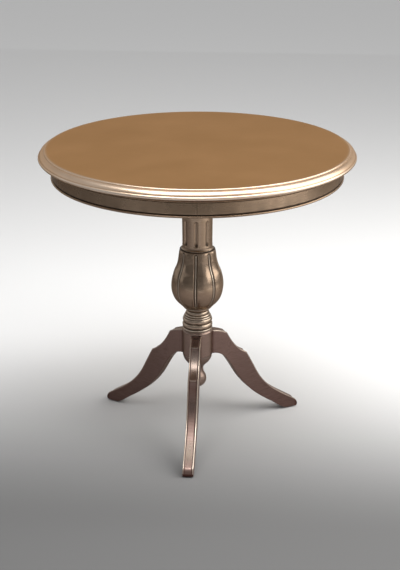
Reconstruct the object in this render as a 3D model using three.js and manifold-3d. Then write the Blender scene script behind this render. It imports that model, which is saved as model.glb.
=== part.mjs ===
// Round pedestal table whose top tips up on edge.
//
// A moulded round board and its frieze ring are carried by two bearers. The bearers turn on two pins
// in the end of a block, and the block is drawn down on the head of a turned column by a threaded rod.
// Three sawn legs are dovetailed into the hub at the column's foot. A spring catch holds the top down.
//
// Millimetres, +Z up. The origin is on the floor, on the column's axis. The front leg points to -Y,
// and the top tips about a line along X on the +Y side of the column.

import * as THREE from 'three';
import { mergeVertices } from 'three/addons/utils/BufferGeometryUtils.js';
import Module from 'manifold-3d';

const wasm = await Module();
wasm.setup();

// Driving dimensions.
const TABLE_HEIGHT = 720;
const TOP_RADIUS = 370;
const TOP_THICKNESS = 21;
const APRON_RADIUS = 340;
const APRON_DEPTH = 47;
const APRON_WALL = 18;
const APRON_SEAM_TURN = THREE.MathUtils.degToRad(4.6);
const HUB_RADIUS = 36.3;
const HUB_BOTTOM = 197;
const LEG_THICKNESS = 25.4;
const LEG_AZIMUTHS = { front: -90, back_right: 30, back_left: 150 };
const GAP = 0.3;

const RIB_COUNT = 8;
const COLUMN_SEGMENTS = 48;
const RING_SEGMENTS = 32;
const FINIAL_SEGMENTS = 24;
const TOP_SEGMENTS = 80;
const SMALL_SEGMENTS = 16;
const CURVE_SEGMENTS = 9;

const UNDERSIDE = TABLE_HEIGHT - TOP_THICKNESS;
const CARRIED = UNDERSIDE - GAP;

// Tilt block, pivot and bearers.
const BLOCK_HALF_WIDTH = 56;
const BLOCK_THICKNESS = 29.4;
const BLOCK_FRONT = -112;
const PIVOT_Y = 110;
const PIVOT_Z = CARRIED - BLOCK_THICKNESS / 2;
const PIVOT_PIN_RADIUS = 5;
const BEARER_WIDTH = 22;
const BEARER_INNER = BLOCK_HALF_WIDTH + GAP;
const BEARER_MIDDLE = BEARER_INNER + BEARER_WIDTH / 2;
const BEARER_HALF_LENGTH = 292;
const BEARER_SCREWS = { front: -235, middle: -30, back: 235 };

// Tie rod through the column.
const ROD_RADIUS = 5;
const ROD_BORE = ROD_RADIUS + 0.5;
const NUT_POCKET_RADIUS = 14;
const WASHER_THICKNESS = 2;
const NUT_HEIGHT = 8;

// Spring catch. The bolt slides along Y.
const CATCH_Z = PIVOT_Z;
const CATCH_FRONT = -118;
const CATCH_BACK = -178;
const BOLT_TIP = -104.5;
const BOLT_TAIL = -146;
const BOLT_HALF_WIDTH = 6;
const BOLT_HALF_HEIGHT = 3;
const BOLT_TRAVEL = 10;
const KNOB_Y = -130;
const KNOB_STUD_RADIUS = 2;

const FINISHES = {
  painted_wood: { color: 0x8a7862, roughness: 0.35, metalness: 0.6 },
  painted_top: { color: 0x98784f, roughness: 0.38, metalness: 0.6 },
  bare_wood: { color: 0xb08a5c, roughness: 0.8, metalness: 0 },
  steel: { color: 0x9a9c9e, roughness: 0.35, metalness: 1 },
  brass: { color: 0xb58f45, roughness: 0.35, metalness: 1 },
  glide: { color: 0x2b2724, roughness: 0.6, metalness: 0 },
};

const table = new THREE.Group();

function addPiece(name, geometry, finish) {
  const mesh = new THREE.Mesh(geometry, new THREE.MeshStandardMaterial(FINISHES[finish]));
  mesh.name = name;
  table.add(mesh);
  return mesh;
}

// ---- Solids: joining and cutting ----

function toSolid(geometry) {
  const bare = geometry.clone();
  bare.deleteAttribute('normal');
  bare.deleteAttribute('uv');
  const merged = mergeVertices(bare, 1e-3);
  const corners = merged.index.array;
  const kept = [];
  for (let i = 0; i < corners.length; i += 3) {
    const [a, b, c] = corners.slice(i, i + 3);
    if (a !== b && b !== c && c !== a) kept.push(a, b, c);
  }
  const vertProperties = new Float32Array(merged.attributes.position.array);
  return new wasm.Manifold(new wasm.Mesh({ numProp: 3, vertProperties, triVerts: new Uint32Array(kept) }));
}

function toGeometry(solid) {
  const mesh = solid.getMesh();
  const geometry = new THREE.BufferGeometry();
  geometry.setAttribute('position', new THREE.BufferAttribute(new Float32Array(mesh.vertProperties), 3));
  geometry.setIndex(new THREE.BufferAttribute(new Uint32Array(mesh.triVerts), 1));
  geometry.computeVertexNormals();
  return geometry;
}

function cut(geometry, ...tools) {
  return toGeometry(tools.reduce((solid, tool) => solid.subtract(toSolid(tool)), toSolid(geometry)));
}

function join(...geometries) {
  return toGeometry(geometries.map(toSolid).reduce((whole, solid) => whole.add(solid)));
}

// ---- Shapes ----

// Surface of revolution about Z. Points are [radius, height] from the bottom up.
function turned(points, segments = COLUMN_SEGMENTS) {
  const profile = points.map(([radius, height]) => new THREE.Vector2(radius, height));
  return new THREE.LatheGeometry(profile, segments).rotateX(Math.PI / 2);
}

// Turned piece with the rod's bore through it: its outline closes on itself.
function turnedAroundRod(points, segments) {
  const bottom = points[0][1];
  const top = points.at(-1)[1];
  return turned([[ROD_BORE, bottom], ...points, [ROD_BORE, top], [ROD_BORE, bottom]], segments);
}

// Rod, disc or drilled hole along Z.
function disc(radius, bottom, top, segments = SMALL_SEGMENTS) {
  return turned([[0, bottom], [radius, bottom], [radius, top], [0, top]], segments);
}

function box(low, high) {
  const size = high.map((value, axis) => value - low[axis]);
  const centre = high.map((value, axis) => (value + low[axis]) / 2);
  return new THREE.BoxGeometry(...size).translate(...centre);
}

// Board cut to an outline in X and Z, centred on Y = 0, with its edges bevelled.
function sawn(shape, width, bevel = 0) {
  const core = width - 2 * bevel;
  const geometry = new THREE.ExtrudeGeometry(shape, {
    depth: core,
    bevelEnabled: bevel > 0,
    bevelThickness: bevel,
    bevelSize: bevel,
    bevelOffset: -bevel,
    bevelSegments: 1,
    curveSegments: CURVE_SEGMENTS,
  });
  return geometry.translate(0, 0, -core / 2).rotateX(Math.PI / 2);
}

// The same board with its length along Y in place of X.
function sawnAlongY(shape, width, bevel) {
  return sawn(shape, width, bevel).rotateZ(Math.PI / 2);
}

function outline(points) {
  return new THREE.Shape(points.map(([x, z]) => new THREE.Vector2(x, z)));
}

// Presses grooves into a turned piece: the vertices on each of RIB_COUNT lines move in by depth.
function grooved(geometry, bottom, top, depth) {
  const position = geometry.attributes.position;
  const pitch = (2 * Math.PI) / RIB_COUNT;
  const reach = Math.PI / COLUMN_SEGMENTS;
  for (let i = 0; i < position.count; i += 1) {
    const radius = Math.hypot(position.getX(i), position.getY(i));
    const height = position.getZ(i);
    const turn = Math.atan2(position.getY(i), position.getX(i)) / pitch;
    const onLine = Math.abs(turn - Math.round(turn)) * pitch < reach;
    if (onLine && height > bottom && height < top && radius > 2 * ROD_BORE) {
      const scale = (radius - depth) / radius;
      position.setXY(i, position.getX(i) * scale, position.getY(i) * scale);
    }
  }
  return geometry;
}

// Points on a smooth curve through the given [radius, height] points, with the given steps in each span.
function smooth(points, stepsPerSpan) {
  const curve = new THREE.SplineCurve(points.map(([radius, height]) => new THREE.Vector2(radius, height)));
  return curve.getPoints(stepsPerSpan * (points.length - 1)).map(({ x, y }) => [x, y]);
}

// ---- Column ----

const SHAFT_BOTTOM = 470;
const SHAFT_TOP = PIVOT_Z - BLOCK_THICKNESS / 2 - GAP;
const TENON_RADIUS = 16;
const TENON_HEIGHT = 12;
const FLUTE = { bottom: 481, top: 546, depth: 3.2 };
const VASE_BOTTOM = 322;
const REED = { bottom: 338, top: 464, depth: 1.8 };
const RINGS_BOTTOM = 265;
const HUB_POCKET_TOP = 212;

const shaft = turnedAroundRod([
  [38.5, SHAFT_BOTTOM + GAP],
  [39.5, 472],
  [36.4, 479],
  [36.1, FLUTE.bottom + 2],
  [36.4, FLUTE.top - 2],
  [36.8, FLUTE.top + 4],
  [36.8, 626],
  [40.5, 632],
  [40.5, 640],
  [37.5, 645],
  [44, 658],
  [46, SHAFT_TOP],
  [TENON_RADIUS, SHAFT_TOP],
  [TENON_RADIUS, SHAFT_TOP + TENON_HEIGHT],
]);
addPiece('fluted_shaft', grooved(shaft, FLUTE.bottom, FLUTE.top, FLUTE.depth), 'painted_wood');

const vaseWall = smooth(
  [
    [34.8, VASE_BOTTOM + GAP],
    [53.6, 342],
    [63, 366],
    [62.5, 396],
    [51.8, 426],
    [46.2, 452],
    [42.6, SHAFT_BOTTOM],
  ],
  3,
);
const vase = turnedAroundRod(vaseWall);
addPiece('vase', grooved(vase, REED.bottom, REED.top, REED.depth), 'painted_wood');

// Each bead is [bottom, top, radius], with a quirk of BEAD_QUIRK between it and the next.
const RING_BEADS = [
  [RINGS_BOTTOM + GAP, 279, 36.9],
  [279, 293, 37],
  [293, 298.5, 35.2],
  [298.5, 305.5, 32.8],
];
const BEAD_QUIRK = 1.4;
const ringWall = RING_BEADS.flatMap(([bottom, top, radius]) => [
  [radius - BEAD_QUIRK, bottom],
  [radius, bottom + (top - bottom) * 0.25],
  [radius, bottom + (top - bottom) * 0.75],
]);
const rings = turnedAroundRod(
  [...ringWall, [30, 305.5], [28.4, 309], [26.6, 312], [30.4, 317], [34.2, 319.5], [34.2, VASE_BOTTOM]],
  RING_SEGMENTS,
);
addPiece('turned_rings', rings, 'painted_wood');

// Dovetail socket or tongue for a leg that points along +X, narrower by the given clearance.
const DOVETAIL = { mouth: 5, root: 7.5, depth: 15, top: 245 };

function dovetail(clearance, bottom, top) {
  const inner = HUB_RADIUS - DOVETAIL.depth + clearance;
  const outer = HUB_RADIUS + 4;
  const shape = outline([
    [inner, clearance - DOVETAIL.root],
    [outer, clearance - DOVETAIL.mouth],
    [outer, DOVETAIL.mouth - clearance],
    [inner, DOVETAIL.root - clearance],
  ]);
  const prism = new THREE.ExtrudeGeometry(shape, { depth: top - bottom, bevelEnabled: false });
  return prism.translate(0, 0, bottom);
}

const hubBody = turnedAroundRod([
  [HUB_RADIUS, HUB_BOTTOM],
  [HUB_RADIUS, 257],
  [35, 261.5],
  [32.6, RINGS_BOTTOM],
]);
const hubSockets = Object.values(LEG_AZIMUTHS).map((azimuth) =>
  dovetail(0, HUB_BOTTOM - 1, DOVETAIL.top + GAP).rotateZ(THREE.MathUtils.degToRad(azimuth)),
);
const hubPocket = disc(NUT_POCKET_RADIUS, HUB_BOTTOM - 1, HUB_POCKET_TOP);
addPiece('leg_hub', cut(hubBody, ...hubSockets, hubPocket), 'painted_wood');

const FINIAL_BOTTOM = 107;
const FINIAL_BORE_BOTTOM = 172;
const finialWall = smooth(
  [
    [5, FINIAL_BOTTOM + 1],
    [18.6, 118],
    [21.8, 130],
    [17.4, 145],
    [14, 157],
    [22.5, 171],
    [33, 187],
    [35.7, HUB_BOTTOM - GAP],
  ],
  2,
);
const finialBore = [[ROD_BORE, HUB_BOTTOM - GAP], [ROD_BORE, FINIAL_BORE_BOTTOM], [0, FINIAL_BORE_BOTTOM]];
const finial = turned([[0, FINIAL_BOTTOM], ...finialWall, ...finialBore], FINIAL_SEGMENTS);
addPiece('drop_finial', finial, 'painted_wood');

// ---- Tie rod, washers and nuts ----

const ROD_BOTTOM = FINIAL_BORE_BOTTOM + 2;
const ROD_TOP = CARRIED - 2;
const BLOCK_POCKET_BOTTOM = PIVOT_Z;
addPiece('tie_rod', disc(ROD_RADIUS, ROD_BOTTOM, ROD_TOP), 'steel');

function addWasherAndNut(place, washerBottom, nutBottom) {
  const ring = (outer, bottom, height, segments) =>
    turned(
      [
        [ROD_BORE, bottom],
        [outer, bottom],
        [outer, bottom + height],
        [ROD_BORE, bottom + height],
        [ROD_BORE, bottom],
      ],
      segments,
    );
  addPiece(`tie_rod_washer_${place}`, ring(11.5, washerBottom, WASHER_THICKNESS, 24), 'steel');
  const hexagon = new THREE.Shape();
  for (let i = 0; i < 6; i += 1) {
    const angle = (i * Math.PI) / 3;
    const corner = [9.8 * Math.cos(angle), 9.8 * Math.sin(angle)];
    if (i === 0) hexagon.moveTo(...corner);
    else hexagon.lineTo(...corner);
  }
  hexagon.closePath();
  const nutBody = new THREE.ExtrudeGeometry(hexagon, { depth: NUT_HEIGHT, bevelEnabled: false });
  const threads = disc(ROD_BORE, nutBottom - 1, nutBottom + NUT_HEIGHT + 1);
  addPiece(`tie_rod_nut_${place}`, cut(nutBody.translate(0, 0, nutBottom), threads), 'steel');
}

const lowerWasher = HUB_POCKET_TOP - GAP - WASHER_THICKNESS;
addWasherAndNut('lower', lowerWasher, lowerWasher - GAP - NUT_HEIGHT);
const upperWasher = BLOCK_POCKET_BOTTOM + GAP;
addWasherAndNut('upper', upperWasher, upperWasher + WASHER_THICKNESS + GAP);

// ---- Legs and glides ----

const GLIDE_HEIGHT = 2.2;
const SOLE = GLIDE_HEIGHT + GAP;
const FOOT_TIP = 279;
const SOLE_START = 245;
const LEG_BEVEL = 2;

function legShape() {
  const shape = new THREE.Shape();
  shape.moveTo(24, 193.5);
  shape.bezierCurveTo(72, 196, 88, 148, 114, 110);
  shape.bezierCurveTo(137, 78, 165, 54, 205, 29);
  shape.quadraticCurveTo(SOLE_START - 9, 5, SOLE_START, SOLE);
  shape.lineTo(FOOT_TIP - 1, SOLE);
  shape.quadraticCurveTo(FOOT_TIP + 3, 14, 271, 24);
  shape.bezierCurveTo(226, 54, 184, 74, 156, 132);
  shape.quadraticCurveTo(143, 158, 130, 181);
  shape.quadraticCurveTo(98, 196, 75, 243);
  shape.quadraticCurveTo(58, 252, 36, 255);
  shape.lineTo(24, 255);
  shape.closePath();
  return shape;
}

const legTongueBottom = HUB_BOTTOM + GAP;
const hubEnvelope = disc(HUB_RADIUS + GAP, FINIAL_BOTTOM, RINGS_BOTTOM, COLUMN_SEGMENTS);
for (const [place, azimuth] of Object.entries(LEG_AZIMUTHS)) {
  const turn = THREE.MathUtils.degToRad(azimuth);
  const board = cut(sawn(legShape(), LEG_THICKNESS, LEG_BEVEL), hubEnvelope);
  const leg = join(board, dovetail(GAP, legTongueBottom, DOVETAIL.top));
  addPiece(`leg_${place}`, leg, 'painted_wood').rotation.z = turn;
  const glideWall = [[0, 0], [8.5, 0], [9.5, 1], [9.5, GLIDE_HEIGHT], [0, GLIDE_HEIGHT]];
  const glide = turned(glideWall, SMALL_SEGMENTS).translate((SOLE_START + FOOT_TIP) / 2, 0, 0);
  addPiece(`glide_${place}`, glide, 'glide').rotation.z = turn;
}

// ---- Tilt block, with its round nose about the pivot ----

const blockShape = new THREE.Shape();
blockShape.moveTo(BLOCK_FRONT, PIVOT_Z - BLOCK_THICKNESS / 2);
blockShape.lineTo(PIVOT_Y, PIVOT_Z - BLOCK_THICKNESS / 2);
blockShape.absarc(PIVOT_Y, PIVOT_Z, BLOCK_THICKNESS / 2, -Math.PI / 2, Math.PI / 2, false);
blockShape.lineTo(BLOCK_FRONT, CARRIED);
blockShape.closePath();

const alongX = (geometry) => geometry.rotateY(Math.PI / 2);
const alongY = (geometry) => geometry.rotateX(Math.PI / 2);

const PIN_END = 30;
const KEEP_THICKNESS = 1.5;
const KEEP_HALF_WIDTH = 19;
const KEEP_HALF_HEIGHT = 11;
const KEEP_SCREW_X = 13;
const SCREW_SHANK = 1.8;

// Clearance hole for a screw's shank, run past both of its ends.
function screwHole(bottom, top) {
  return disc(SCREW_SHANK + GAP, bottom - 1, top + 1, 12);
}

const pinBore = alongX(disc(PIVOT_PIN_RADIUS + GAP, -BLOCK_HALF_WIDTH - 1, BLOCK_HALF_WIDTH + 1));
const keepPocket = box(
  [-BOLT_HALF_WIDTH - 1.5, BLOCK_FRONT - 1, CATCH_Z - BOLT_HALF_HEIGHT - 2],
  [BOLT_HALF_WIDTH + 1.5, BOLT_TIP + 3, CATCH_Z + BOLT_HALF_HEIGHT + 2],
);
const keepPilots = [-KEEP_SCREW_X, KEEP_SCREW_X].map((x) =>
  alongY(screwHole(-13, 13)).translate(x, BLOCK_FRONT, CATCH_Z),
);
const tiltBlock = cut(
  sawnAlongY(blockShape, 2 * BLOCK_HALF_WIDTH),
  pinBore.translate(0, PIVOT_Y, PIVOT_Z),
  disc(TENON_RADIUS + GAP, SHAFT_TOP - 1, SHAFT_TOP + TENON_HEIGHT + GAP, COLUMN_SEGMENTS),
  disc(ROD_BORE, SHAFT_TOP, CARRIED + 1),
  disc(NUT_POCKET_RADIUS, BLOCK_POCKET_BOTTOM, CARRIED + 1),
  keepPocket,
  ...keepPilots,
);
addPiece('tilt_block', tiltBlock, 'bare_wood');

const keepBack = BLOCK_FRONT - GAP;
const keepPlate = cut(
  box(
    [-KEEP_HALF_WIDTH, keepBack - KEEP_THICKNESS, CATCH_Z - KEEP_HALF_HEIGHT],
    [KEEP_HALF_WIDTH, keepBack, CATCH_Z + KEEP_HALF_HEIGHT],
  ),
  box(
    [-BOLT_HALF_WIDTH - 0.8, keepBack - 5, CATCH_Z - BOLT_HALF_HEIGHT - 1],
    [BOLT_HALF_WIDTH + 0.8, keepBack + 5, CATCH_Z + BOLT_HALF_HEIGHT + 1],
  ),
  ...[-KEEP_SCREW_X, KEEP_SCREW_X].map((x) => alongY(screwHole(-4, 4)).translate(x, keepBack, CATCH_Z)),
);
addPiece('keep_plate', keepPlate, 'brass');

// Wood screw along +Z from its head's underside: shank above, domed head below.
function screw(shankLength, headRadius, headHeight) {
  return turned(
    [
      [0, -headHeight],
      [headRadius * 0.6, -headHeight],
      [headRadius, -headHeight * 0.4],
      [headRadius, 0],
      [SCREW_SHANK, 0],
      [SCREW_SHANK, shankLength - 3],
      [0, shankLength],
    ],
    12,
  );
}

for (const [side, sign] of Object.entries({ left: -1, right: 1 })) {
  const keepScrew = screw(12, 3.2, 1.6).rotateX(-Math.PI / 2);
  keepScrew.translate(sign * KEEP_SCREW_X, keepBack - KEEP_THICKNESS - GAP, CATCH_Z);
  addPiece(`keep_screw_${side}`, keepScrew, 'brass');
}

// ---- Bearers, their screws and the pivot pins ----

const BEARER_DEPTH = 28;
const BEARER_END_DEPTH = 11;
const BEARER_TAPER = 62;
const BEARER_SCREW_HEAD = 4.4;
const COUNTERBORE = 13;
const BOARD_PILOT_DEPTH = 12;
const CATCH_SCREW = { x: 21, y: -148, flange: 3 };
const bearerBottom = CARRIED - BEARER_DEPTH;
const bearerShape = outline([
  [-BEARER_HALF_LENGTH, CARRIED],
  [-BEARER_HALF_LENGTH, CARRIED - BEARER_END_DEPTH],
  [BEARER_TAPER - BEARER_HALF_LENGTH, bearerBottom],
  [BEARER_HALF_LENGTH - BEARER_TAPER, bearerBottom],
  [BEARER_HALF_LENGTH, CARRIED - BEARER_END_DEPTH],
  [BEARER_HALF_LENGTH, CARRIED],
]);

const boardPilots = [];
for (const [side, sign] of Object.entries({ left: -1, right: 1 })) {
  const middle = sign * BEARER_MIDDLE;
  const holes = [
    alongX(disc(PIVOT_PIN_RADIUS + GAP, -BEARER_WIDTH, BEARER_WIDTH)).translate(middle, PIVOT_Y, PIVOT_Z),
  ];
  for (const [place, y] of Object.entries(BEARER_SCREWS)) {
    const seat = bearerBottom + COUNTERBORE;
    holes.push(screwHole(bearerBottom, CARRIED).translate(middle, y, 0));
    holes.push(disc(BEARER_SCREW_HEAD + GAP, bearerBottom - 1, seat).translate(middle, y, 0));
    boardPilots.push(screwHole(UNDERSIDE, UNDERSIDE + BOARD_PILOT_DEPTH - 1).translate(middle, y, 0));
    const length = UNDERSIDE + BOARD_PILOT_DEPTH - 1 - seat;
    const bearerScrew = screw(length, BEARER_SCREW_HEAD, 3).translate(middle, y, seat - GAP);
    addPiece(`bearer_screw_${side}_${place}`, bearerScrew, 'steel');
  }
  const bearer = sawnAlongY(bearerShape, BEARER_WIDTH, 0).translate(middle, 0, 0);
  addPiece(`bearer_${side}`, cut(bearer, ...holes), 'bare_wood');

  const head = BEARER_INNER + BEARER_WIDTH + GAP;
  const pin = turned([
    [0, PIN_END],
    [PIVOT_PIN_RADIUS - 1, PIN_END],
    [PIVOT_PIN_RADIUS, PIN_END + 1],
    [PIVOT_PIN_RADIUS, head],
    [8.5, head],
    [8.5, head + 2],
    [6, head + 4],
    [0, head + 4],
  ], 20);
  pin.rotateY(sign * Math.PI / 2).translate(0, PIVOT_Y, PIVOT_Z);
  addPiece(`pivot_pin_${side}`, pin, 'steel');
}

// ---- Spring catch ----

const CATCH_HALF_WIDTH = 15;
const CATCH_BOTTOM = CATCH_Z - 10;
const CHANNEL_BACK = CATCH_BACK + 6;
const FLANGE_X = 27;
const catchHoles = [-CATCH_SCREW.x, CATCH_SCREW.x].map((x) =>
  screwHole(CATCH_BOTTOM, CARRIED).translate(x, CATCH_SCREW.y, 0),
);
const catchBody = join(
  box([-CATCH_HALF_WIDTH, CATCH_BACK, CATCH_BOTTOM], [CATCH_HALF_WIDTH, CATCH_FRONT, CARRIED]),
  box([-FLANGE_X, CATCH_SCREW.y - 16, CARRIED - CATCH_SCREW.flange], [FLANGE_X, CATCH_SCREW.y + 16, CARRIED]),
);
const boltChannel = box(
  [-BOLT_HALF_WIDTH - GAP, CHANNEL_BACK, CATCH_Z - BOLT_HALF_HEIGHT - GAP],
  [BOLT_HALF_WIDTH + GAP, CATCH_FRONT + 1, CATCH_Z + BOLT_HALF_HEIGHT + GAP],
);
const knobSlot = box(
  [-KNOB_STUD_RADIUS - GAP, KNOB_Y - BOLT_TRAVEL - KNOB_STUD_RADIUS - 1, CATCH_BOTTOM - 1],
  [KNOB_STUD_RADIUS + GAP, KNOB_Y + KNOB_STUD_RADIUS + 1, CATCH_Z],
);
addPiece('catch_case', cut(catchBody, boltChannel, knobSlot, ...catchHoles), 'brass');

for (const [side, sign] of Object.entries({ left: -1, right: 1 })) {
  const flangeBottom = CARRIED - CATCH_SCREW.flange;
  const catchScrew = screw(13, 3.6, 2).translate(sign * CATCH_SCREW.x, CATCH_SCREW.y, flangeBottom - GAP);
  addPiece(`catch_screw_${side}`, catchScrew, 'brass');
  const pilot = screwHole(UNDERSIDE, UNDERSIDE + BOARD_PILOT_DEPTH - 1);
  boardPilots.push(pilot.translate(sign * CATCH_SCREW.x, CATCH_SCREW.y, 0));
}

// The bolt's nose is bevelled below, so that it rides over the keep plate as the top comes down.
const boltShape = outline([
  [BOLT_TAIL, CATCH_Z - BOLT_HALF_HEIGHT],
  [BOLT_TIP - 6, CATCH_Z - BOLT_HALF_HEIGHT],
  [BOLT_TIP, CATCH_Z + 1],
  [BOLT_TIP, CATCH_Z + BOLT_HALF_HEIGHT],
  [BOLT_TAIL, CATCH_Z + BOLT_HALF_HEIGHT],
]);
const studHole = disc(KNOB_STUD_RADIUS + GAP, CATCH_Z - BOLT_HALF_HEIGHT - 1, CATCH_Z + 1, 12);
addPiece(
  'catch_bolt',
  cut(sawnAlongY(boltShape, 2 * BOLT_HALF_WIDTH), studHole.translate(0, KNOB_Y, 0)),
  'brass',
);
const knobTop = CATCH_BOTTOM - 2;
const knob = turned(
  [
    [0, knobTop - 13],
    [4, knobTop - 12.4],
    [6.6, knobTop - 9.5],
    [7, knobTop - 6.5],
    [5.2, knobTop - 3],
    [4, knobTop],
    [KNOB_STUD_RADIUS, knobTop],
    [KNOB_STUD_RADIUS, CATCH_Z + 0.5],
    [0, CATCH_Z + 0.5],
  ],
  16,
);
addPiece('catch_knob', knob.translate(0, KNOB_Y, 0), 'brass');

// Compression spring between the bolt's tail and the back of the case.
const SPRING = { coil: 2.3, wire: 0.4, turns: 6, steps: 8 };
const springFront = BOLT_TAIL - GAP - SPRING.wire;
const springBack = CHANNEL_BACK + GAP + SPRING.wire;

class Helix extends THREE.Curve {
  getPoint(t) {
    const angle = 2 * Math.PI * SPRING.turns * t;
    const y = springBack + (springFront - springBack) * t;
    return new THREE.Vector3(SPRING.coil * Math.cos(angle), y, CATCH_Z + SPRING.coil * Math.sin(angle));
  }
}

const wireSection = new THREE.Shape();
wireSection.absarc(0, 0, SPRING.wire, 0, 2 * Math.PI);
const spring = new THREE.ExtrudeGeometry(wireSection, {
  extrudePath: new Helix(),
  steps: SPRING.turns * SPRING.steps,
  curveSegments: 3,
});
addPiece('catch_spring', spring, 'steel');

// ---- Top board ----

const fieldRadius = 353;
const edgeTop = TABLE_HEIGHT - 14;
const topProfile = [
  [0, UNDERSIDE],
  [TOP_RADIUS - 1.5, UNDERSIDE],
  [TOP_RADIUS, UNDERSIDE + 2],
  [TOP_RADIUS, edgeTop],
  [TOP_RADIUS - 2, edgeTop + 1.2],
  [TOP_RADIUS - 5.5, TABLE_HEIGHT - 8.6],
  [fieldRadius + 2.5, TABLE_HEIGHT - 2.8],
  [fieldRadius, TABLE_HEIGHT],
  [0, TABLE_HEIGHT],
];
addPiece('top_board', cut(turned(topProfile, TOP_SEGMENTS), ...boardPilots), 'painted_top');

// ---- Apron: a ring in four segments, with a glue block behind each butt seam ----

const apronInner = APRON_RADIUS - APRON_WALL;
const apronBottom = UNDERSIDE - APRON_DEPTH;
const beadTop = apronBottom + 4.5;
const apronRing = turned(
  [
    [apronInner, apronBottom],
    [APRON_RADIUS + 1.4, apronBottom],
    [APRON_RADIUS + 2.2, apronBottom + 2.2],
    [APRON_RADIUS + 1.2, beadTop],
    [APRON_RADIUS - 1.2, beadTop + 0.6],
    [APRON_RADIUS, beadTop + 2.4],
    [APRON_RADIUS, CARRIED],
    [apronInner, CARRIED],
    [apronInner, apronBottom],
  ],
  TOP_SEGMENTS,
);

// A quarter of the plane, drawn back from both seams by half the gap.
function quarter(turn) {
  const near = GAP / 2;
  const far = TOP_RADIUS + near;
  return box([near, near, apronBottom - 1], [far, far, CARRIED + 1]).rotateZ(turn);
}

const QUARTERS = ['back_right', 'back_left', 'front_left', 'front_right'];
const GLUE_BLOCK = { halfWidth: 30, depth: 22, height: 38 };
const ringSolid = toSolid(apronRing);
QUARTERS.forEach((place, index) => {
  const turn = (index * Math.PI) / 2 + APRON_SEAM_TURN;
  const segment = ringSolid.intersect(toSolid(quarter(turn)));
  addPiece(`apron_${place}`, toGeometry(segment), 'painted_wood');
});

const blockFace = Math.sqrt(apronInner ** 2 - GLUE_BLOCK.halfWidth ** 2) - 2 * GAP;
['right', 'back', 'left', 'front'].forEach((place, index) => {
  const glueBlock = box(
    [blockFace - GLUE_BLOCK.depth, -GLUE_BLOCK.halfWidth, CARRIED - GLUE_BLOCK.height],
    [blockFace, GLUE_BLOCK.halfWidth, CARRIED],
  );
  glueBlock.rotateZ((index * Math.PI) / 2 + APRON_SEAM_TURN);
  addPiece(`glue_block_${place}`, glueBlock, 'bare_wood');
});

export default table;
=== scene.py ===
"""Round tilt-top table on a turned column with three sawn legs, finished in antiqued champagne lacquer.

The file follows the table from the board down to the feet, then the works under the top, then the
room. Sizes are in millimetres and are set against the frame's own boxes; meshes are in metres.
"""

import math

import bmesh
import bpy
import numpy as np
from mathutils import Matrix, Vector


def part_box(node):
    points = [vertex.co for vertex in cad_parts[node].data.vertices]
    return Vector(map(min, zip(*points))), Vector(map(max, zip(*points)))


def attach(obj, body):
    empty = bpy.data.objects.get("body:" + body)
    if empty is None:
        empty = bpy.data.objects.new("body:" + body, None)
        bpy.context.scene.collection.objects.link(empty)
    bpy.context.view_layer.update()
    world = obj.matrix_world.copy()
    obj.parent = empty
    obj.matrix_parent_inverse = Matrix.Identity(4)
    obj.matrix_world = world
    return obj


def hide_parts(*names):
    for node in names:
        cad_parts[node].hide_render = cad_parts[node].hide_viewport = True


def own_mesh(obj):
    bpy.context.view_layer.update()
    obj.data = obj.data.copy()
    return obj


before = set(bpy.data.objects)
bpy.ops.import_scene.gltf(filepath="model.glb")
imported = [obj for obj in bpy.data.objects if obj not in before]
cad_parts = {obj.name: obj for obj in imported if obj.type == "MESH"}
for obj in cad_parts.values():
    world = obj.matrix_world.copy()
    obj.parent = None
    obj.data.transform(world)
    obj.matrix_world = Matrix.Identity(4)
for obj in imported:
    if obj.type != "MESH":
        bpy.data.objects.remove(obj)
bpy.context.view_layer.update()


# ---- Camera ----
# It stands three metres off at eye height, a little to the right of the front leg, and looks down
# on the table's middle with a long lens.

EYE_DISTANCE = 3.030
EYE_HEIGHT = 1.508
EYE_ASIDE = 0.0062
EYE_TURN = math.radians(4.6)
EYE_PITCH = math.radians(20.5)

camera = bpy.data.objects.new("camera", bpy.data.cameras.new("camera"))
camera.data.sensor_width = 36.0
camera.data.lens = 84.5
camera.data.clip_end = 100.0
eye_turned = Matrix.Rotation(EYE_TURN, 4, "Z")
eye_place = Matrix.Translation((EYE_ASIDE, -EYE_DISTANCE, EYE_HEIGHT))
eye_tilt = Matrix.Rotation(math.radians(90) - EYE_PITCH, 4, "X")
camera.matrix_world = eye_turned @ eye_place @ eye_tilt
bpy.context.scene.collection.objects.link(camera)
bpy.context.scene.camera = camera


# ---- Top board ----
# A round board turned from one blank. Its edge is worked with a small shoulder, a quirk, a broad
# ovolo and a square nosing. The face and edge are sprayed; the underside is left bare.

MM = 0.001


def corners(node):
    """A CAD node's lowest and highest corners in millimetres."""
    return [np.array(corner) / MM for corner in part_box(node)]


def moulding(start, *moves, steps=12):
    """Outline of a moulding in (radius, height). Each move goes to (radius, height, bulge): straight
    when bulge is 0, or along a parabola that stands out by bulge, at its middle, to the right."""
    runs = [np.array([start], float)]
    for radius, height, bulge in moves:
        here, there = runs[-1][-1], np.array([radius, height], float)
        chord = there - here
        aside = np.array([chord[1], -chord[0]]) / np.linalg.norm(chord)
        t = np.linspace(0, 1, (steps if bulge else 1) + 1)[1:, None]
        runs.append(here + chord * t + 4 * bulge * t * (1 - t) * aside)
    return np.vstack(runs)


def closely(outline, margin=0.7, closed=False):
    """The same outline with a point added this far inside each end of every long straight run."""
    start = outline if closed else outline[:-1]
    step = np.roll(outline, -1, axis=0) - outline if closed else np.diff(outline, axis=0)
    share = np.minimum(margin / np.maximum(np.linalg.norm(step, axis=1), 1e-9), 1 / 3)[:, None]
    points = np.stack([start, start + step * share, start + step * (1 - share)], axis=1)
    points = points.reshape(-1, outline.shape[1])
    return points if closed else np.vstack([points, outline[-1:]])


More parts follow.
